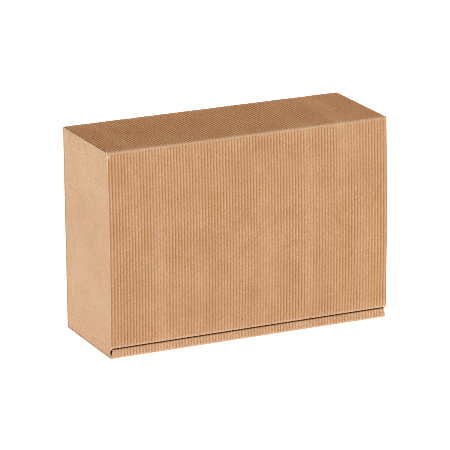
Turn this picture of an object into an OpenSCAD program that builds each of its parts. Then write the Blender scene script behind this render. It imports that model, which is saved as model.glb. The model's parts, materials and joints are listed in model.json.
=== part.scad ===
// Gift carton of open-flute kraft board, closed and standing on its long narrow side.
// One creased sheet is folded round two plain end pieces. Its first panel is the lid, which
// hangs from the top front fold and tucks in behind a rim at the foot of the front.
// X runs across the flutes, -Y is the lid's face, and the origin is under the middle of the box.

/* [Box] */
// Length of the box, which is the width of the fluted sheet
box_w = 310; // [160:5:450]
// Depth from the lid's flutes to the back's flutes
box_d = 116; // [70:1:200]
// Height over the flutes, as the box stands
box_h = 216; // [120:1:350]

/* [Fluted board] */
// Thickness of the board over its flutes
board_t = 1.6; // [1.3:0.1:2.4]
// Thickness where the fluted paper is pressed onto the liner
web_t = 0.5; // [0.35:0.05:0.7]
// Distance from one flute to the next
flute_pitch = 3.35; // [2.8:0.01:5]
// Distance from the sheet's left edge to the first valley
first_valley = 1.3; // [0.2:0.1:2.6]
// Width of the flat at the top of a flute
crest_w = 0.8; // [0.4:0.1:1.1]
// Width of the flat at the foot of a valley
valley_w = 0.7; // [0.4:0.1:1.1]
// Height of a valley above the crushed board of a fold
valley_rise = 0.06; // [0.02:0.02:0.2]
// Inside radius of the folds
fold_r = 0.4; // [0.3:0.1:0.8]
// Crushed flat run beside a fold, before a flute begins to rise
crease_flat = 0.9; // [0.5:0.1:1.5]
// Length over which a flute rises to its full height
crease_ramp = 1.7; // [1:0.1:3]

/* [Front rim] */
// Height of the rim's top fold above the surface that the box stands on
rim_h = 9.5; // [9:0.1:20]

/* [Lid] */
// Width of the slot between the rim and the lid's lower fold
slot_gap = 1.5; // [0.9:0.1:3]
// Length of the tuck flap
tuck_l = 22; // [14:1:30]
// Angle by which the tuck flap rises towards the back
tuck_rise = 10; // [9:1:20]
// Clearance between the tuck flap's flutes and the flutes of the rim wall under them
tuck_fit = 0.3; // [0.2:0.1:1]
// Distance from an end piece's inner face to the tuck flap's end
tuck_side_gap = 1.5; // [0.8:0.1:5]
// Width of the slanted cut at the tuck flap's corners
tuck_corner = 9; // [4:0.5:12]
// Running gap round the lid's hinge fold
hinge_gap = 0.1; // [0.05:0.05:0.3]

/* [End pieces] */
// Thickness of the plain board of the end pieces
end_t = 1.5; // [1:0.1:2]
// How far an end piece lies inside the sheet's cut edge
end_inset = 0.5; // [0.2:0.1:2]
// Width of the glued flanges, from the end piece's outer face
flange_w = 20; // [12:1:35]
// How far the ends of a flange are cut back at its free edge
flange_slant = 8; // [2:0.5:12]
// Distance from an end piece's front edge to the start of its top flange
flange_start = 3; // [2.5:0.5:10]
// Gap between an end piece's front edge and the closed lid
end_front_gap = 0.8; // [0.5:0.1:2]
// Gap between an end piece's inner face and the rim wall
rim_fit = 0.3; // [0.2:0.1:1]
// Gap between pieces of board that pass each other inside
board_gap = 0.4; // [0.3:0.1:1]

/* [Hidden] */
$fn = 48;

kraft_flutes = "#c89a70";
kraft_plain = "#d8b08d";

// The inner faces of the liner, all round
front_y = -box_d / 2 + board_t;
back_y = box_d / 2 - board_t;
floor_z = board_t;
ceiling_z = box_h - board_t;
bend_r = fold_r + web_t;
top_run = box_d - 2 * board_t - 2 * fold_r;
back_run = box_h - 2 * board_t - 2 * fold_r;

// The hollow rim at the foot of the front, and the wall that runs back from it
rim_z = rim_h - web_t;
rim_wall_w = box_w - 2 * (end_inset + end_t + rim_fit);
rim_run = rim_z - floor_z - 2 * fold_r;
rim_wall_run = box_d - 2 * board_t - web_t - 2 * fold_r;
rim_tab_run = rim_z - fold_r - floor_z - board_gap;

// The fold that the lid turns on, and the lid below it
hinge_y = front_y + fold_r;
hinge_z = ceiling_z - fold_r;
lid_top_skip = bend_r + hinge_gap;
tuck_z = rim_h + slot_gap + web_t;
lid_run = hinge_z - fold_r - tuck_z;
tuck_turn = 90 + tuck_rise;
tuck_w = box_w - 2 * (end_inset + end_t + tuck_side_gap);
flute_h = board_t - web_t;
tuck_flute_start = (2 * flute_h - slot_gap + tuck_fit) / sin(tuck_rise) - crease_ramp;

// The flutes: heights are measured from the liner's inner face
valley_h = web_t + valley_rise;
root_h = web_t / 2;
first_valley_x = first_valley - box_w / 2;
flute_count = ceil(box_w / flute_pitch) + 1;
flank_w = (flute_pitch - crest_w - valley_w) / 2;

// The end pieces
end_bend_r = end_t + fold_r;
end_x = box_w / 2 - end_inset;
end_front_y = front_y + end_front_gap;
end_bend_floor = floor_z + end_bend_r;
end_bend_top = ceiling_z - end_bend_r;
end_bend_back = back_y - end_bend_r;
back_flange_z = rim_z + board_t + board_gap;
slack = 1;

// Height of the board's outer face at x, from the liner's inner face
function wave(x) =
    let (
        turns = (x - first_valley_x) / flute_pitch,
        from_valley = abs(turns - round(turns)) * flute_pitch,
        rise = (from_valley - valley_w / 2) / flank_w
    )
    valley_h + (board_t - valley_h) * max(0, min(1, rise));

// The corners of the flutes that lie inside a strip of width w
function wave_corners(w) = [
    for (i = [-1 : flute_count])
        let (valley = first_valley_x + i * flute_pitch, crest = valley + flute_pitch / 2)
        for (x = [valley - valley_w / 2, valley + valley_w / 2, crest - crest_w / 2, crest + crest_w / 2])
            if (abs(x) < w / 2 - 0.01) [x, wave(x)]
];

// Section across the flutes, from inside the liner to the crests
module flute_section(w) {
    polygon(concat(
        [[-w / 2, root_h], [-w / 2, wave(-w / 2)]],
        wave_corners(w),
        [[w / 2, wave(w / 2)], [w / 2, root_h]]
    ));
}

// Turns a section drawn along the sheet and out of it into a strip of width w across the box
module across(w) {
    rotate([90, 0, 90]) linear_extrude(w, center = true) children();
}

// Flutes on a panel that runs from y = 0 to y = run, crushed down to the liner at both ends
module flutes(w, run, start_flat = crease_flat, end_flat = crease_flat) {
    first = start_flat;
    last = run - end_flat;
    ramp = min(crease_ramp, 0.45 * (last - first));
    intersection() {
        translate([0, last, 0]) rotate([90, 0, 0]) linear_extrude(last - first) flute_section(w);
        across(w + 2 * slack) polygon([
            [first, root_h - slack],
            [first, web_t],
            [first + ramp, board_t],
            [last - ramp, board_t],
            [last, web_t],
            [last, root_h - slack]
        ]);
    }
}

// The liner of a panel, from y = 0 to y = run, with its inner face at z = 0
module liner(w, run, from = 0) {
    translate([-w / 2, from, 0]) cube([w, run - from, web_t]);
}

module panel(w, run) {
    liner(w, run);
    flutes(w, run);
}

// The bend at the end of a panel of length run, and then what follows it, folded inwards
module fold(w, run, angle = 90) {
    translate([0, run, -fold_r]) {
        across(w) intersection() {
            difference() {
                circle(bend_r);
                circle(fold_r);
            }
            wedge(angle);
        }
        rotate([-angle, 0, 0]) translate([0, 0, fold_r]) children();
    }
}

// The part of the plane between straight up and an angle clockwise from it
module wedge(angle) {
    reach = 3 * bend_r;
    polygon([
        [0, 0],
        [0, reach],
        [reach, reach],
        [reach * sin(angle), reach * cos(angle)]
    ]);
}

// The rim, which narrows from the full width at its foot to the width of the wall behind it
module rim_panel() {
    foot = box_w / 2;
    top = rim_wall_w / 2;
    intersection() {
        panel(box_w, rim_run);
        translate([0, 0, -slack]) linear_extrude(board_t + 2 * slack)
            polygon([[-foot, 0], [foot, 0], [top, rim_run], [-top, rim_run]]);
    }
}

// The fixed part of the sheet: top, back, bottom, front rim, rim wall and its glued tab
module wrap() {
    color(kraft_flutes) translate([0, hinge_y, ceiling_z]) {
        translate([0, 0, -fold_r]) across(box_w) circle(bend_r);
        panel(box_w, top_run);
        fold(box_w, top_run) {
            panel(box_w, back_run);
            fold(box_w, back_run) {
                panel(box_w, top_run);
                fold(box_w, top_run) {
                    rim_panel();
                    fold(rim_wall_w, rim_run) {
                        panel(rim_wall_w, rim_wall_run);
                        fold(rim_wall_w, rim_wall_run) liner(rim_wall_w, rim_tab_run);
                    }
                }
            }
        }
    }
}

// The tuck flap, with its free corners cut away at a slant
module tuck_flap() {
    half = tuck_w / 2;
    intersection() {
        union() {
            liner(tuck_w, tuck_l);
            flutes(tuck_w, tuck_l, max(crease_flat, tuck_flute_start), -crease_ramp);
        }
        translate([0, 0, -slack]) linear_extrude(board_t + 2 * slack) polygon([
            [-half, 0],
            [half, 0],
            [half, tuck_l - tuck_corner],
            [half - tuck_corner, tuck_l],
            [-half + tuck_corner, tuck_l],
            [-half, tuck_l - tuck_corner]
        ]);
    }
}

// The moving part of the sheet: the lid from just below its hinge fold, and the tuck flap
module lid() {
    color(kraft_flutes) translate([0, front_y, hinge_z]) rotate([-90, 0, 0]) mirror([0, 0, 1]) {
        liner(box_w, lid_run, lid_top_skip);
        flutes(box_w, lid_run, max(crease_flat, lid_top_skip));
        fold(box_w, lid_run, tuck_turn) tuck_flap();
    }
}

// A quadrant with a rounded corner of radius r, which reaches back and down from its centre
module corner(r, back, down) {
    circle(r);
    translate([-back, -down]) square([back, down + r]);
    translate([-back, -down]) square([back + r, down]);
}

// A flange, folded inwards off the edge of an end piece and glued against the sheet. The edge
// runs along x, the outer faces are at z = 0 and y = end_bend_r, and both ends are slanted.
module end_flange(length) {
    half = length / 2;
    drop = flange_w - end_bend_r;
    translate([0, 0, -end_bend_r]) intersection() {
        across(length) difference() {
            corner(end_bend_r, end_t, drop);
            corner(fold_r, 2 * end_t, 2 * drop);
        }
        rotate([90, 0, 0]) linear_extrude(4 * end_bend_r, center = true) polygon([
            [-half, 2 * end_bend_r],
            [-half, 0],
            [-half + flange_slant, -drop],
            [half - flange_slant, -drop],
            [half, 0],
            [half, 2 * end_bend_r]
        ]);
    }
}

// The end piece on the right: a plain panel with flanges along the top, the back and the floor
module end_piece() {
    top_from = end_front_y + flange_start;
    floor_from = end_front_y;
    color(kraft_plain) translate([end_x, 0, 0]) rotate([90, 0, 90]) {
        translate([0, 0, -end_t]) linear_extrude(end_t) polygon([
            [end_front_y, end_bend_floor],
            [back_y, end_bend_floor],
            [back_y, back_flange_z - board_gap],
            [end_bend_back, back_flange_z - board_gap],
            [end_bend_back, end_bend_top],
            [end_front_y, end_bend_top]
        ]);
        translate([(top_from + end_bend_back) / 2, end_bend_top, 0]) end_flange(end_bend_back - top_from);
        translate([end_bend_back, (back_flange_z + end_bend_top) / 2, 0]) rotate([0, 0, -90])
            end_flange(end_bend_top - back_flange_z);
        translate([(floor_from + end_bend_back) / 2, end_bend_floor, 0]) rotate([0, 0, 180])
            end_flange(end_bend_back - floor_from);
    }
}

module right_end() {
    end_piece();
}

module left_end() {
    mirror([1, 0, 0]) end_piece();
}

wrap();
lid();
left_end();
right_end();
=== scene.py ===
import json
import math

import bmesh
import bpy
from mathutils import Matrix, Vector, noise


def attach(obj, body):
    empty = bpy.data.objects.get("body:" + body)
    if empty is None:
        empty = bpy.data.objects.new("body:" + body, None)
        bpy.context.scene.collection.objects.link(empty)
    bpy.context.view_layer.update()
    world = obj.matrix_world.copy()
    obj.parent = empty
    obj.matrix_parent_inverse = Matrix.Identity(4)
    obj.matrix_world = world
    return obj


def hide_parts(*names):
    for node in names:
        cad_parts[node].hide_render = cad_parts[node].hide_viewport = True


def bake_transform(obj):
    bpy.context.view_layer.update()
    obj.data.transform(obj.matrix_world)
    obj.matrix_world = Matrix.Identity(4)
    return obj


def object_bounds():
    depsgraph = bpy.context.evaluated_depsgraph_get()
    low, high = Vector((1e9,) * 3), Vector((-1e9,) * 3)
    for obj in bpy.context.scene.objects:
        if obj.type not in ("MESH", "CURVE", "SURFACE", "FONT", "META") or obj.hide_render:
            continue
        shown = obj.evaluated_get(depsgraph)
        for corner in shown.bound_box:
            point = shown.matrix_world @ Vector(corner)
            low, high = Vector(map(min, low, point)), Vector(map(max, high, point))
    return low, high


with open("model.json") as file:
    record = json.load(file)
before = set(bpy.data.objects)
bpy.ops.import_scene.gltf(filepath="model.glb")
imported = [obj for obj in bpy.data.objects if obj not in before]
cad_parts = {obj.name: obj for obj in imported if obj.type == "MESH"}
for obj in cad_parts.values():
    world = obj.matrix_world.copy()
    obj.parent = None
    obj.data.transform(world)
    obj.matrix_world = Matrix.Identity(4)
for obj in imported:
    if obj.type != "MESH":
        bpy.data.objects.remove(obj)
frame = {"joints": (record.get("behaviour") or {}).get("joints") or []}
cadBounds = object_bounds()

# A closed gift box of open-flute kraft board, standing on its long narrow side.
# One fluted sheet is folded round two plain end pieces, and its first panel is the lid.
mm = 0.001
tiny = 0.001 * mm  # closer together than any two separate points
low, high = Vector(cadBounds[0]), Vector(cadBounds[1])
boxWidth = high.x - low.x
hinge = Vector(frame["joints"][0]["pos_m"])  # on the fold between the top and the lid

board = {
    "thickness": 1.6 * mm,  # from the liner's inner face to the top of a flute
    "web": 0.5 * mm,  # liner and fluted paper together, where they are glued
    "liner": 0.28 * mm,
    "paper": 0.18 * mm,  # the fluted paper alone
    "pitch": 3.35 * mm,  # from one flute to the next
    "firstValley": 1.3 * mm,  # from the sheet's left cut edge
    "crestPower": 0.8,  # below 1, crests are broader than valleys
    "columns": 8,  # of mesh points to a flute
    "foldRadius": 0.4 * mm,  # inside the folds
    "foldLength": 0.7 * mm,  # that a fold adds along the sheet
    "foldSteps": 4,
    "rowSpacing": 9 * mm,  # between the rows of mesh points, away from the folds
    "cutPress": 0.4,  # how far the flutes are pressed down at the sheet's cut edges
    "cutRise": 0.6,  # the share of the flutes' height to which they are pressed there
    "cutReach": 1.8 * mm,  # how far in from the edge they are pressed
    "straightReach": 3 * mm,  # how far in from the edge they stray less
    "channel": 1.2 * mm,  # how far one sees in under a flute at a cut edge
    "channelFrom": 0.4,  # the shares of relief between which this hollow opens
    "channelFull": 0.9,
    "risesOver": 2 * mm,  # the run over which flutes begin on the tuck flap
    "valleysRubbedAndHighlit": 0.2,  # as a share of the crests' rubbing and painted highlight
    "sharpFrom": 48,  # degrees between faces
    "nearFolds": (0.5, 1.1, 1.7, 2.4, 3.2, 4.2),  # mm from a fold to the rows beside it
    "nearHiddenFolds": (1.2, 3.6),
}
frontY = low.y + board["thickness"]  # the liner's inner faces
backY = high.y - board["thickness"]
floorZ = low.z + board["thickness"]
ceilingZ = high.z - board["thickness"]
seam = 1.2 * mm  # from the hinge fold to where the meshes of the wrap and the lid end

# how the flutes stray from an even pattern, with the reach of each change across and along them
strays = {"size": 0.10 * mm, "across": 9 * mm, "along": 22 * mm, "layer": 3.7}  # sideways
heights = {"size": 0.10, "across": 4 * mm, "along": 14 * mm, "layer": 9.1}  # of single flutes
bands = {"size": 0.22, "across": 16 * mm, "along": 260 * mm, "layer": 2.3}  # of groups of them

# how a fold crushes the flutes: the share of their relief that is left on it, how high the crushed
# paper swells between web and crests, the run beside the fold before the flutes rise again, the
# length over which they rise, and how pale the paper is made by rubbing and a painted highlight;
# behind the rim, the tuck flap has flattened them
creases = {
    "fold": {"left": 0.3, "swell": 0.0, "flat": 0.2 * mm, "ramp": 2.4 * mm, "rubbed": 0.4},
    "foot": {"left": 0.15, "swell": 0.65, "flat": 0.0, "ramp": 1.4 * mm, "rubbed": 0.5},
    "rimTop": {"left": 0.62, "swell": 0.0, "flat": 0.0, "ramp": 1.2 * mm, "rubbed": 0.4},
    "behindRim": {"left": 0.1, "swell": 0.0, "flat": 8 * mm, "ramp": 5 * mm, "rubbed": 0.0},
    "lidFoot": {"left": 0.15, "swell": 0.3, "flat": 0.0, "ramp": 1.5 * mm, "rubbed": 0.35},
    "none": {"left": 1.0, "swell": 0.0, "flat": 0.0, "ramp": 1.0 * mm, "rubbed": 0.0},
}
rubbedAndHighlitReach = 8 * mm  # how far from a fold its paper is rubbed and given a painted highlight
slotShade = {"full": 4 * mm, "fade": 8 * mm}  # how far in from the slot the paper has painted shade


# one walk along the folded sheet gives the rows of its mesh
def smoothStep(value):
    value = max(0.0, min(1.0, value))
    return value * value * (3 - 2 * value)


def rowPlaces(length, spacing, hidden):
    # close together beside the folds at both ends, and evenly spaced between
    gaps = board["nearHiddenFolds" if hidden else "nearFolds"]
    beside = [gap * mm for gap in gaps if gap * mm < length / 2]
    inner = beside[-1] if beside else 0.0
    count = max(1, round((length - 2 * inner) / spacing))
    middle = [inner + (length - 2 * inner) * i / count for i in range(1, count)]
    return [0.0] + beside + middle + [length - d for d in reversed(beside)] + [length]


def makeRow(step, point, angle, along, halfWidth, **own):
    # angle is the direction of the outer face
    row = {
        "point": point,
        "outward": (math.cos(angle), math.sin(angle)),
        "along": along,
        "halfWidth": halfWidth,
        "wobble": step.get("wobble", 1.0),
        "cutPress": step.get("cutPress", board["cutPress"]),
        "depthTone": 1.0,
        "shade": 0.0,
        "open": 0.0,
    }
    row.update(own)
    return row


def walkSheet(start, heading, side, steps, along=0.0, forward=1):
    # start is (y, z) on the liner's inner face; side +1 puts the outer face on the left hand
    rows = []
    y, z = start
    for number, step in enumerate(steps):
        outward = heading + side * math.pi / 2
        if "fold" in step:
            before = steps[number - 1]
            crush = creases[before["to"]]
            turn = math.radians(step["fold"])
            radius = board["foldRadius"]
            cy, cz = y - radius * math.cos(outward), z - radius * math.sin(outward)
            for i in range(1, board["foldSteps"]):
                share = i / board["foldSteps"]
                angle = outward - side * turn * share
                rows.append(makeRow(
                    before, (cy + radius * math.cos(angle), cz + radius * math.sin(angle)), angle,
                    along + forward * board["foldLength"] * share,
                    step.get("halfWidth", boxWidth / 2),
                    relief=crush["left"], swell=crush["swell"],
                    rubbed=max(crush["rubbed"], before.get("rubbed", 0.0)),
                ))
            heading -= side * turn
            outward -= side * turn
            y, z = cy + radius * math.cos(outward), cz + radius * math.sin(outward)
            along += forward * board["foldLength"]
            continue
        length = step["run"]
        spacing = step.get("spacing", board["rowSpacing"])
        for d in rowPlaces(length, spacing, step.get("hidden", False)):
            share = d / length
            relief, swell = step.get("full", 1.0), 0.0
            rubbed = step.get("rubbed", 0.0)
            fromFold = d + step.get("startsAt", 0.0)
            for crease, distance in ((step["from"], fromFold), (step["to"], length - d)):
                crush = creases[crease]
                rise = smoothStep((distance - crush["flat"]) / crush["ramp"])
                left = crush["left"] + (1 - crush["left"]) * rise
                if left < relief:
                    relief, swell = left, crush["swell"]
                rubbed = max(rubbed, crush["rubbed"] * (1 - distance / rubbedAndHighlitReach))
            if "flutesFrom" in step:
                relief *= smoothStep((d - step["flutesFrom"]) / board["risesOver"])
            bow = 4 * share * (1 - share) * step.get("bow", 0.0)
            narrow = step["narrow"](d) if "narrow" in step else 0.0
            point = (y + d * math.cos(heading) + bow * math.cos(outward),
                     z + d * math.sin(heading) + bow * math.sin(outward))
            opening = ((relief - board["channelFrom"])
                       / (board["channelFull"] - board["channelFrom"]))
            # painted shade inside the slot, fading further in
            dark = 1 - smoothStep((d - slotShade["full"]) / slotShade["fade"])
            rows.append(makeRow(
                step, point, outward, along + forward * d,
                step.get("halfWidth", boxWidth / 2) - narrow,
                relief=relief, swell=swell, rubbed=rubbed,
                depthTone=step.get("depthTone", 1.0), shade=step.get("shade", 0.0) * dark,
                open=step.get("open", 0.0) * smoothStep(opening),
            ))
        y += length * math.cos(heading)
        z += length * math.sin(heading)
        along += forward * length
    return rows


# the fluted board as a closed mesh
def wave(x):
    # 1 on a crest and 0 in a valley
    turns = (x - (low.x + board["firstValley"])) / board["pitch"]
    return (0.5 - 0.5 * math.cos(2 * math.pi * turns)) ** board["crestPower"]


def drift(change, x, along):
    where = Vector((x / change["across"], along / change["along"], change["layer"]))
    return 2 * change["size"] * noise.noise(where)


def columnPlaces():
    perFlute = board["columns"]
    left = low.x + board["firstValley"] - board["pitch"]
    count = int((boxWidth + 2 * board["pitch"]) / board["pitch"]) * perFlute
    places = [left + board["pitch"] * i / perFlute for i in range(count)]
    near = 0.1 * board["pitch"] / perFlute
    inside = [x for x in places if low.x + near < x < high.x - near]
    return [low.x] + inside + [high.x]


def placeOn(row, x, height):
    y, z = row["point"]
    ny, nz = row["outward"]
    return Vector((x, y + ny * height, z + nz * height))


papers = ["fluted", "plain", "cut", "hollow"]  # the order of the material slots


def flutedBoard(name, rows):
    columns = columnPlaces()
    across, down = len(columns), len(rows)
    bm = bmesh.new()
    rowOf = bm.verts.layers.int.new("row")
    topOf = bm.verts.layers.float.new("top")
    reliefOf = bm.verts.layers.float.new("relief")
    rubbedAndHighlitOf = bm.verts.layers.float.new("rubbed")
    made = bmesh.ops.create_grid(bm, x_segments=across - 1, y_segments=down - 1, size=0.5)
    grid = made["verts"]
    for i, v in enumerate(grid):
        row = rows[i // across]
        half = row["halfWidth"]
        x = max(-half, min(half, columns[i % across]))
        fromEdge = half - abs(x)
        fade = min(1.0, fromEdge / board["straightReach"])
        stray = row["wobble"] * fade * drift(strays, x, row["along"])
        vary = 1 + drift(heights, x, row["along"]) + drift(bands, x, row["along"])
        shape = wave(x)
        relief = min(1.0, row["relief"] * vary)
        rise = relief * shape + (1 - relief) * row["swell"]
        press = row["cutPress"] * (1 - smoothStep(fromEdge / board["cutReach"]))
        rise += (board["cutRise"] - rise) * press
        height = board["web"] + (board["thickness"] - board["web"]) * rise
        v.co = placeOn(row, x + stray, height)
        v[rowOf] = i // across
        v[topOf] = height
        # painted shade: darker towards the valleys, deeper still on the top, and dark paper in the
        # slot behind the rim
        v[reliefOf] = (1 - relief * (1 - shape ** row["depthTone"])) * (1 - row["shade"])
        inValley = board["valleysRubbedAndHighlit"]
        # rubbed paper with a painted highlight, mostly on the crests
        v[rubbedAndHighlitOf] = row["rubbed"] * (inValley + (1 - inValley) * shape)
    left, right = grid[::across], grid[across - 1 :: across]
    cutFaces, hollowFaces, innerFaces = set(), set(), set()

    def stitch(edges, place, faces):
        # extrudes a chain of edges and puts each new point where the board's section has it
        made = bmesh.ops.extrude_edge_only(bm, edges=edges)["geom"]
        points = {g for g in made if isinstance(g, bmesh.types.BMVert)}
        for v in points:
            v.co = place(v)
        faces.update(g for g in made if isinstance(g, bmesh.types.BMFace))
        return [g for g in made if isinstance(g, bmesh.types.BMEdge) and set(g.verts) <= points]

    def sideAt(sign, depth, level):
        # a point on the side cut edge: level 0 is the inner face, 1 the top of the liner and
        # 2 under the paper
        def place(v):
            row = rows[v[rowOf]]
            gap = max(0.0, v[topOf] - board["paper"] - board["liner"])
            height = (0.0, board["liner"], board["liner"] + gap)[level]
            reach = depth * row["open"] * min(1.0, gap / board["channel"])
            return placeOn(row, sign * (row["halfWidth"] - reach), height)
        return place

    ends = {}
    for sign, chain in ((-1, left), (1, right)):
        edges = [bm.edges.get(pair) for pair in zip(chain, chain[1:])]
        edges = stitch(edges, sideAt(sign, 0, 2), cutFaces)
        edges = stitch(edges, sideAt(sign, board["channel"], 1), hollowFaces)
        edges = stitch(edges, sideAt(sign, 0, 1), hollowFaces)
        ends[sign] = stitch(edges, sideAt(sign, 0, 0), cutFaces)
    # the liner's inner face, drawn across from the left edge to the right
    stitch(ends[-1], sideAt(1, 0, 0), innerFaces)

    bmesh.ops.remove_doubles(bm, verts=bm.verts[:], dist=2 * tiny)
    bmesh.ops.dissolve_degenerate(bm, edges=bm.edges[:], dist=tiny)
    openEdges = [e for e in bm.edges if e.is_boundary]
    cutFaces.update(bmesh.ops.holes_fill(bm, edges=openEdges, sides=0)["faces"])
    bmesh.ops.recalc_face_normals(bm, faces=bm.faces[:])
    for f in bm.faces:
        f.smooth = True
        f.material_index = papers.index("fluted")
    for faces, paper in ((innerFaces, "plain"), (cutFaces, "cut")):
        for f in faces:
            if f.is_valid:
                f.material_index = papers.index(paper)
    for f in hollowFaces:
        if f.is_valid:
            inside = max(rows[corner[rowOf]]["open"] for corner in f.verts) > 0.1
            f.material_index = papers.index("hollow" if inside else "cut")
    mesh = bpy.data.meshes.new(name)
    print(name, "boundary", sum(e.is_boundary for e in bm.edges), "faces", len(bm.faces))
    bm.to_mesh(mesh)
    bm.free()
    mesh.set_sharp_from_angle(angle=math.radians(board["sharpFrom"]))
    piece = bpy.data.objects.new(name, mesh)
    bpy.context.collection.objects.link(piece)
    return piece


# materials
def toLinear(hexColour):
    values = [int(hexColour[i : i + 2], 16) / 255 for i in (1, 3, 5)]
    return [v / 12.92 if v <= 0.04045 else ((v + 0.055) / 1.055) ** 2.4 for v in values] + [1.0]


def addNode(tree, kind, settings=None, links=None):
    # settings name sockets or properties; links name a socket and the output that feeds it
    node = tree.nodes.new(kind)
    for key, value in (settings or {}).items():
        if isinstance(key, str) and hasattr(node, key) and key not in node.inputs:
            setattr(node, key, value)
        else:
            node.inputs[key].default_value = value
    for key, source in (links or {}).items():
        tree.links.new(source, node.inputs[key])
    return node


def kraftPaper(name, look, fluted):
    material = bpy.data.materials.new(name)
    material.use_nodes = True
    tree = material.node_tree
    tree.nodes.clear()
    place = addNode(tree, "ShaderNodeTexCoord").outputs["Object"]

    def tint(colour, shade, value, full, none, blend="MULTIPLY"):
        # brings in the shade, all of it where the value is at full and nothing where it is at none
        share = addNode(tree, "ShaderNodeMapRange",
                        {"From Min": full, "From Max": none, "To Min": 1.0, "To Max": 0.0},
                        {"Value": value})
        mix = addNode(tree, "ShaderNodeMix",
                      {"data_type": "RGBA", "blend_type": blend, 7: toLinear(shade)},
                      {"Factor": share.outputs[0], 6: colour})
        return mix.outputs[2]

    if fluted:
        # painted shade: the deep parts of the flutes are darker and warmer, the crests and crushed
        # folds paler
        relief = addNode(tree, "ShaderNodeAttribute", {"attribute_name": "relief"})
        depth = addNode(tree, "ShaderNodeValToRGB", None, {"Fac": relief.outputs["Fac"]})
        tones = depth.color_ramp.elements
        tones[0].color, tones[0].position = toLinear(look["valley"]), look["valleyTo"]
        tones[1].color, tones[1].position = toLinear(look["crest"]), look["crestFrom"]
        tones.new(look["flankAt"]).color = toLinear(look["flank"])
        # paler where rubbed, and a painted highlight on crests near folds and on the rim
        rubbed = addNode(tree, "ShaderNodeAttribute", {"attribute_name": "rubbed"})
        paler = addNode(tree, "ShaderNodeMix", {"data_type": "RGBA", 7: toLinear(look["rubbed"])},
                        {"Factor": rubbed.outputs["Fac"], 6: depth.outputs["Color"]})
        colour = paler.outputs[2]
    else:
        plain = addNode(tree, "ShaderNodeRGB")
        plain.outputs[0].default_value = toLinear(look["face"])
        colour = plain.outputs[0]

    # pulp fibres, about as long as the flutes are wide, and softer clouds in the pulp
    stretch = addNode(tree, "ShaderNodeMapping", {"Scale": look["fibreStretch"]}, {"Vector": place})
    fibres = addNode(tree, "ShaderNodeTexNoise",
                     {"Scale": 1 / look["fibreSize"], "Detail": 2.0, "Roughness": 0.7},
                     {"Vector": stretch.outputs[0]})
    colour = tint(colour, look["fibreShade"], fibres.outputs[0], *look["fibreRange"])
    clouds = addNode(tree, "ShaderNodeTexNoise",
                     {"Scale": 1 / look["cloudSize"], "Detail": 2.0}, {"Vector": place})
    colour = tint(colour, look["cloudShade"], clouds.outputs[0], *look["cloudRange"])
    # a few specks of bark and dark fibre, each in its own cell
    cells = addNode(tree, "ShaderNodeTexVoronoi", {"Scale": 1 / look["speckSpacing"]},
                    {"Vector": place})
    reach = look["speckSize"] / look["speckSpacing"]
    colour = tint(colour, look["speckShade"], cells.outputs["Distance"],
                  look["speckCore"] * reach, reach)
    # single marks at their places on the box
    for mark in look["marks"]:
        away = addNode(tree, "ShaderNodeVectorMath", {"operation": "DISTANCE", 1: mark["at"]},
                       {0: place})
        colour = tint(colour, mark["shade"], away.outputs["Value"],
                      look["markCore"] * mark["reach"], mark["reach"], "MIX")
    bump = addNode(tree, "ShaderNodeBump",
                   {"Strength": look["tooth"], "Distance": look["toothHeight"]},
                   {"Height": fibres.outputs[0]})
    shader = addNode(tree, "ShaderNodeBsdfPrincipled",
                     {"Roughness": look["roughness"], "IOR": look["ior"],
                      "Specular IOR Level": look["specular"]},
                     {"Base Color": colour, "Normal": bump.outputs[0]})
    addNode(tree, "ShaderNodeOutputMaterial", None, {"Surface": shader.outputs[0]})
    return material


# unbleached kraft paper over a recycled core: matt, warm, with visible pulp and few specks
flutedLook = {
    # the flutes' colours run darker and warmer towards the valleys, as painted shade
    "crest": "#e8c9ad",
    "crestFrom": 0.9,  # height on the flutes, from 0 in the valleys to 1 on the crests
    "flank": "#e8bc94",
    "flankAt": 0.5,
    "valley": "#d6a36a",
    "valleyTo": 0.05,
    # pale of rubbed paper, also used as a painted highlight
    "rubbed": "#fbe0c6",
    "fibreShade": "#d2bfa9",
    "fibreSize": 1.1 * mm,
    "fibreStretch": (1.6, 0.6, 0.6),  # drawn out along the flutes
    "fibreRange": (0.25, 0.75),  # the noise that gives the full shade, and none
    "cloudSize": 30 * mm,
    "cloudShade": "#f7f2ec",
    "cloudRange": (0.7, 0.35),
    "speckSpacing": 15 * mm,
    "speckSize": 0.7 * mm,
    "speckCore": 0.4,  # the share of its size that has the full shade
    "speckShade": "#b08a68",
    "roughness": 0.85,
    "ior": 1.45,
    "specular": 0.25,
    "tooth": 0.5,
    "toothHeight": 0.03 * mm,
    "markCore": 0.3,  # the share of its reach that has the full shade
    "marks": (
        # two ends of a dark fibre, a speck, and the lid's scuffed top left corner
        {"at": (105.6 * mm, -59 * mm, 40.2 * mm), "reach": 1.0 * mm, "shade": "#9a6842"},
        {"at": (104.8 * mm, -59 * mm, 41.0 * mm), "reach": 0.8 * mm, "shade": "#ab7a52"},
        {"at": (-12.1 * mm, -58.6 * mm, 187.7 * mm), "reach": 0.9 * mm, "shade": "#b98659"},
        {"at": (-155 * mm, -58 * mm, 211 * mm), "reach": 2.6 * mm, "shade": "#f8e6d6"},
    ),
}
plainLook = dict(
    flutedLook,
    face="#f1d1b2",
    fibreSize=1.32 * mm,
    fibreShade="#cdb9a2",
    fibreStretch=(1.0, 1.0, 0.8),
    cloudSize=45 * mm,
    roughness=0.8,
    marks=({"at": (-154.8 * mm, -41.9 * mm, 191.3 * mm), "reach": 0.9 * mm, "shade": "#cfa27c"},),
)
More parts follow.
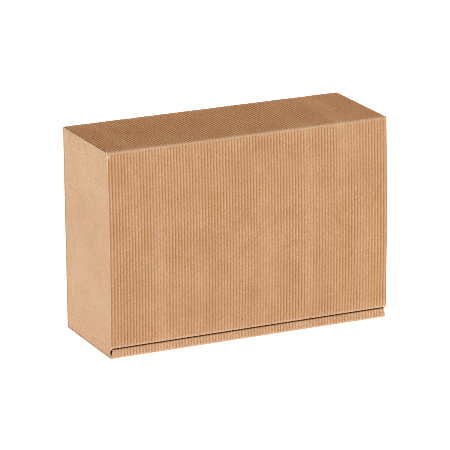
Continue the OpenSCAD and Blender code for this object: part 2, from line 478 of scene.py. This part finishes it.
# the grey core shows where the board is cut, and it is scuffed at the lid's top left corner
edgeLook = dict(
    plainLook,
    face="#f0dcc8",
    marks=({"at": (-155 * mm, -57 * mm, 208 * mm), "reach": 14 * mm, "shade": "#fbf0e6"},),
)
hollowLook = dict(plainLook, face="#c0a999", marks=())  # greyer core under the flutes, darkened further as painted shade in the hollow
paperMaterials = {
    "fluted": kraftPaper("open_flute_kraft_paper", flutedLook, True),
    "plain": kraftPaper("smooth_kraft_liner", plainLook, False),
    "cut": kraftPaper("cut_kraft_board_edge", edgeLook, False),
    "hollow": kraftPaper("kraft_inside_a_flute", hollowLook, False),
}


def dress(piece):
    for paper in papers:
        piece.data.materials.append(paperMaterials[paper])


# the fixed part of the sheet
rim = {
    "height": 9.5 * mm,
    "pressed": 0.15 * mm,  # by which its top fold has settled
    "slant": 2.2 * mm,  # at each end, from the foot to the top fold
    "corner": 0.45 * mm,  # by which the foot's corners are rounded off
    "cornerReach": 2.5 * mm,  # how far back from the foot they are rounded
    "wobble": 2.6,  # times the wobble of the other flutes
    # paler from rubbing, partly as a painted highlight
    "rubbed": 0.55,
    "cutPress": 0.9,
    "tabGap": 0.8 * mm,  # between the glued tab and the floor
}
wallHalfWidth = boxWidth / 2 - rim["slant"]  # the rim's wall passes between the end pieces
bends = 2 * board["foldRadius"]
topRun = backY - frontY - bends
backRun = ceilingZ - floorZ - bends
rimRun = rim["height"] - rim["pressed"] - board["web"] - floorZ - bends
wallRun = backY - frontY - board["web"] - bends


def narrowAtFoot(d):
    return rim["corner"] * max(0.0, 1 - (topRun - d) / rim["cornerReach"])


def narrowAlongRim(d):
    return rim["corner"] + (rim["slant"] - rim["corner"]) * d / rimRun


wrapRows = walkSheet((hinge.y + seam, ceilingZ), 0.0, 1, [
    # top, with more painted shade in its flute valleys
    {"run": topRun - seam, "from": "fold", "to": "fold", "startsAt": seam, "open": 1.0,
     "cutPress": 0.0, "depthTone": 2.8, "wobble": 0.5},
    {"fold": 90},
    # back
    {"run": backRun, "from": "fold", "to": "fold", "spacing": 11 * mm},
    {"fold": 90},
    # bottom
    {"run": topRun, "from": "fold", "to": "foot", "spacing": 12 * mm, "narrow": narrowAtFoot},
    {"fold": 90, "halfWidth": boxWidth / 2 - rim["corner"]},
    # rim
    {"run": rimRun, "from": "foot", "to": "rimTop", "spacing": 1.0 * mm,
     "wobble": rim["wobble"], "rubbed": rim["rubbed"], "cutPress": rim["cutPress"],
     "narrow": narrowAlongRim},
    {"fold": 90, "halfWidth": wallHalfWidth},
    # rim wall, over the bottom, with painted shade behind the slot
    {"run": wallRun, "from": "behindRim", "to": "fold", "spacing": 12 * mm,
     "halfWidth": wallHalfWidth, "shade": 0.9, "hidden": True},
    {"fold": 90, "halfWidth": wallHalfWidth},
    # glued tab, without flutes
    {"run": rimRun - rim["tabGap"], "from": "fold", "to": "none", "halfWidth": wallHalfWidth,
     "full": 0.0, "hidden": True},
], along=seam)
wrapSheet = flutedBoard("fluted_wrap", wrapRows)
dress(wrapSheet)
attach(wrapSheet, "carton")
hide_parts("wrap")
print("wrap done")

# the lid and its tuck flap
lidShape = {
    "bow": 1.9 * mm,  # how far the panel bulges forward at half height
    "slot": 1.5 * mm,  # between the rim and the lid's lower fold
    "lifted": 0.28 * mm,  # by which the lid's lower fold rides above it
    "tuckLength": 22 * mm,
    "tuckRise": 10,  # degrees towards the back
    "tuckHalfWidth": boxWidth / 2 - 3.5 * mm,
    "tuckCorner": 9 * mm,
    "tuckPlain": 4.0 * mm,  # before the tuck flap's flutes begin
}
slotTop = rim["height"] + lidShape["slot"]
lidRun = hinge.z - board["foldRadius"] - (slotTop + lidShape["lifted"] + board["web"])


def narrowAlongTuck(d):
    return max(0.0, d - (lidShape["tuckLength"] - lidShape["tuckCorner"]))


lidRows = walkSheet((frontY, hinge.z - seam), -math.pi / 2, -1, [
    {"run": lidRun - seam, "from": "fold", "to": "lidFoot", "startsAt": seam, "spacing": 6 * mm,
     "bow": lidShape["bow"]},
    {"fold": 90 + lidShape["tuckRise"]},
    # tuck flap, with painted shade where it lies in the slot
    {"run": lidShape["tuckLength"], "from": "lidFoot", "to": "none", "spacing": 1.5 * mm,
     "halfWidth": lidShape["tuckHalfWidth"], "flutesFrom": lidShape["tuckPlain"],
     "shade": 0.6, "narrow": narrowAlongTuck},
], along=-seam, forward=-1)
lidPanel = flutedBoard("lid_panel", lidRows)
dress(lidPanel)
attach(lidPanel, "lid")
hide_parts("lid")
print("lid done")

# the crease between them
creaseRows = walkSheet((hinge.y + seam, ceilingZ), math.pi, -1, [
    {"run": seam, "from": "none", "to": "fold", "spacing": 0.6 * mm},
    {"fold": 90},
    {"run": seam, "from": "fold", "to": "none", "spacing": 0.6 * mm},
], along=seam, forward=-1)
crease = flutedBoard("hinge_crease", creaseRows)
dress(crease)
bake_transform(crease)
print("crease done")

# the end pieces
endPiece = {
    "board": 1.5 * mm,
    "bend": 0.55 * mm,  # outer radius of the folds to its flanges
    "bendSteps": 5,
    "inset": 0.3 * mm,  # inside the sheet's cut edge
    "flange": 20 * mm,
    "slant": 8 * mm,  # by which each end of a flange is cut back at its free edge
    "frontGap": 0.15 * mm,
    "followsLid": 0.95,  # the share of the lid's bulge that its front edge has
    "notch": 4.0 * mm,  # by which its front edge keeps back behind the rim
    "notchTop": 0.4,  # shares of the slot's height over which the notch runs out
    "notchFoot": 0.35,
    "topStart": 3.0 * mm,  # from its front edge to the top flange
    "backStart": 11.0 * mm,  # the back flange starts above the rim wall
    "columns": 24,
    "rows": 70,
    "rowPower": 1.6,  # above 1, the rows are closer together towards the foot
    "softened": 0.15 * mm,  # at the cut edges
    "softenSteps": 2,
    "softenFrom": 60,  # degrees between faces
}


def makeEnd(name, side):
    bend = endPiece["bend"]
    outerX = side * (boxWidth / 2 - endPiece["inset"])
    front = frontY + endPiece["frontGap"]
    back, top, bottom = backY - bend, ceilingZ - bend, floorZ + bend
    bm = bmesh.new()
    bmesh.ops.create_grid(bm, x_segments=endPiece["columns"], y_segments=endPiece["rows"],
                          size=0.5)
    for v in bm.verts:
        z = bottom + (top - bottom) * (v.co.y + 0.5) ** endPiece["rowPower"]
        cut = smoothStep((slotTop - z) / (endPiece["notchTop"] * slotTop))
        cut *= smoothStep((z - floorZ) / (endPiece["notchFoot"] * slotTop))
        share = min(1.0, max(0.0, (z - slotTop) / (hinge.z - slotTop)))
        bulge = endPiece["followsLid"] * lidShape["bow"] * 4 * share * (1 - share)
        y = back + (front - bulge + endPiece["notch"] * cut - back) * (0.5 - v.co.x)
        v.co = Vector((outerX, y, z))

    def sideEdges(test):
        return [e for e in bm.edges if e.is_boundary and all(test(v.co) for v in e.verts)]

    topStart = front + endPiece["topStart"]
    flanges = [
        (sideEdges(lambda c: abs(c.z - top) < tiny and c.y > topStart),
         Vector((0, 0, top)), Vector((0, 0, 1))),
        (sideEdges(lambda c: abs(c.z - bottom) < tiny), Vector((0, 0, bottom)), Vector((0, 0, -1))),
        (sideEdges(lambda c: abs(c.y - back) < tiny and c.z > endPiece["backStart"]),
         Vector((0, back, 0)), Vector((0, 1, 0))),
    ]
    for edges, origin, outward in flanges:
        centre = origin + Vector((outerX - side * bend, 0, 0))
        axis = Vector((side, 0, 0)).cross(outward)
        made = bmesh.ops.spin(bm, geom=edges, cent=centre, axis=axis, dvec=(0, 0, 0),
                              angle=math.pi / 2, steps=endPiece["bendSteps"],
                              use_duplicate=False)["geom_last"]
        foldEdges = [g for g in made if isinstance(g, bmesh.types.BMEdge)]
        flangeGeom = bmesh.ops.extrude_edge_only(bm, edges=foldEdges)["geom"]
        points = [g for g in flangeGeom if isinstance(g, bmesh.types.BMVert)]
        alongAxis = Vector((0, 1, 0)) if abs(outward.z) > 0.5 else Vector((0, 0, 1))
        places = [v.co.dot(alongAxis) for v in points]
        middle = sum(places) / len(places)
        shrink = 2 * endPiece["slant"] / (max(places) - min(places))
        inward = Vector((-side * (endPiece["flange"] - bend), 0, 0))
        for v, place in zip(points, places):
            v.co += inward - alongAxis * (place - middle) * shrink
    bmesh.ops.recalc_face_normals(bm, faces=bm.faces[:])
    facing = next(f for f in bm.faces
                  if abs(f.normal.x) > 0.9 and abs(f.calc_center_median().x - outerX) < tiny)
    if facing.normal.x * side < 0:
        bmesh.ops.reverse_faces(bm, faces=bm.faces[:])
    for f in bm.faces:
        f.smooth = True
        f.material_index = papers.index("plain")
    mesh = bpy.data.meshes.new(name)
    bm.to_mesh(mesh)
    bm.free()
    piece = bpy.data.objects.new(name, mesh)
    bpy.context.collection.objects.link(piece)
    shell = piece.modifiers.new("board", "SOLIDIFY")
    shell.thickness = endPiece["board"]
    shell.offset = -1  # inwards from the outer face
    shell.material_offset_rim = papers.index("cut") - papers.index("plain")
    soften = piece.modifiers.new("edges", "BEVEL")
    soften.width = endPiece["softened"]
    soften.segments = endPiece["softenSteps"]
    soften.limit_method = "ANGLE"
    soften.angle_limit = math.radians(endPiece["softenFrom"])
    return piece


for name, side, node in (("left_end_piece", -1, "left_end"), ("right_end_piece", 1, "right_end")):
    end = makeEnd(name, side)
    dress(end)
    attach(end, "carton")
    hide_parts(node)
print("ends done")

# floor, light and camera
studio = {
    "floorReach": 6.0,  # metres from the middle
    "floorTone": 0.8,
    "floorRoughness": 0.9,
    "floorGlow": 0.72,
    "horizon": 0.90,  # brightness of the sky
    "zenith": 0.36,
    "zenithTint": "#ffecd6",
}
lights = (
    {"name": "key", "spot": (-1.3, -1.95, 1.4), "target": (0, 0, 0.1), "size": 1.0, "power": 6.2,
     "colour": "#ffffff"},
    {"name": "right", "spot": (1.1, 0.8, 0.9), "target": (0, 0, 0.2), "size": 0.8, "power": 11.5,
     "colour": "#fff4e6"},
)
view = {
    "turn": -24.64,  # degrees, with the camera to the left of the lid
    "rise": 16.584,
    "roll": -0.576,
    "distance": 3.5595,
    "target": (-0.00148, 0.0, 0.10541),
    "lens": 277.15,  # mm, on a sensor of 36 mm
    "sensor": 36,
    "sees": 50,  # metres
}


def makeFloor():
    bm = bmesh.new()
    bmesh.ops.create_grid(bm, x_segments=1, y_segments=1, size=studio["floorReach"])
    mesh = bpy.data.meshes.new("floor")
    bm.to_mesh(mesh)
    bm.free()
    floor = bpy.data.objects.new("floor", mesh)
    bpy.context.collection.objects.link(floor)
    material = bpy.data.materials.new("white_table")
    material.use_nodes = True
    shader = material.node_tree.nodes["Principled BSDF"]
    tone = studio["floorTone"]
    shader.inputs["Base Color"].default_value = (tone, tone, tone, 1)
    shader.inputs["Roughness"].default_value = studio["floorRoughness"]
    shader.inputs["Emission Color"].default_value = (1, 1, 1, 1)
    shader.inputs["Emission Strength"].default_value = studio["floorGlow"]
    floor.data.materials.append(material)


def makeSky():
    # white and bright at the horizon, dimmer and warmer overhead
    world = bpy.data.worlds.new("studio")
    bpy.context.scene.world = world
    world.use_nodes = True
    tree = world.node_tree
    tree.nodes.clear()
    way = addNode(tree, "ShaderNodeTexCoord").outputs["Generated"]
    parts = addNode(tree, "ShaderNodeSeparateXYZ", None, {"Vector": way})
    level = addNode(tree, "ShaderNodeMapRange",
                    {"From Min": 0.0, "From Max": 1.0, "To Min": studio["horizon"],
                     "To Max": studio["zenith"]}, {"Value": parts.outputs["Z"]})
    tint = addNode(tree, "ShaderNodeValToRGB", None, {"Fac": parts.outputs["Z"]})
    tint.color_ramp.elements[0].color = (1, 1, 1, 1)
    tint.color_ramp.elements[1].color = toLinear(studio["zenithTint"])
    glow = addNode(tree, "ShaderNodeBackground", None,
                   {"Color": tint.outputs["Color"], "Strength": level.outputs[0]})
    addNode(tree, "ShaderNodeOutputWorld", None, {"Surface": glow.outputs[0]})


def addSoftLight(light):
    lamp = bpy.data.lights.new(light["name"], "AREA")
    lamp.shape = "DISK"
    lamp.size = light["size"]
    lamp.energy = light["power"]
    lamp.color = toLinear(light["colour"])[:3]
    holder = bpy.data.objects.new(light["name"], lamp)
    bpy.context.collection.objects.link(holder)
    spot = Vector(light["spot"])
    holder.location = spot
    holder.rotation_euler = (Vector(light["target"]) - spot).to_track_quat("-Z", "Y").to_euler()


def addCamera():
    # a long lens a few metres away
    turn, rise, roll = (math.radians(view[key]) for key in ("turn", "rise", "roll"))
    back = Vector((math.sin(turn) * math.cos(rise), -math.cos(turn) * math.cos(rise),
                   math.sin(rise)))
    right = Vector((math.cos(turn), math.sin(turn), 0))
    up = back.cross(right)
    rolledRight = right * math.cos(roll) + up * math.sin(roll)
    rolledUp = -right * math.sin(roll) + up * math.cos(roll)
    lens = bpy.data.cameras.new("camera")
    lens.sensor_width = view["sensor"]
    lens.lens = view["lens"]
    lens.clip_end = view["sees"]
    camera = bpy.data.objects.new("camera", lens)
    bpy.context.collection.objects.link(camera)
    pose = Matrix((rolledRight, rolledUp, back)).transposed().to_4x4()
    pose.translation = Vector(view["target"]) + back * view["distance"]
    camera.matrix_world = pose
    bpy.context.scene.camera = camera


makeFloor()
makeSky()
for light in lights:
    addSoftLight(light)
addCamera()
bpy.context.scene.view_settings.view_transform = "Standard"
bpy.context.scene.cycles.filter_width = 0.8  # the flutes look as crisp as in a sharp photograph
print("studio done")
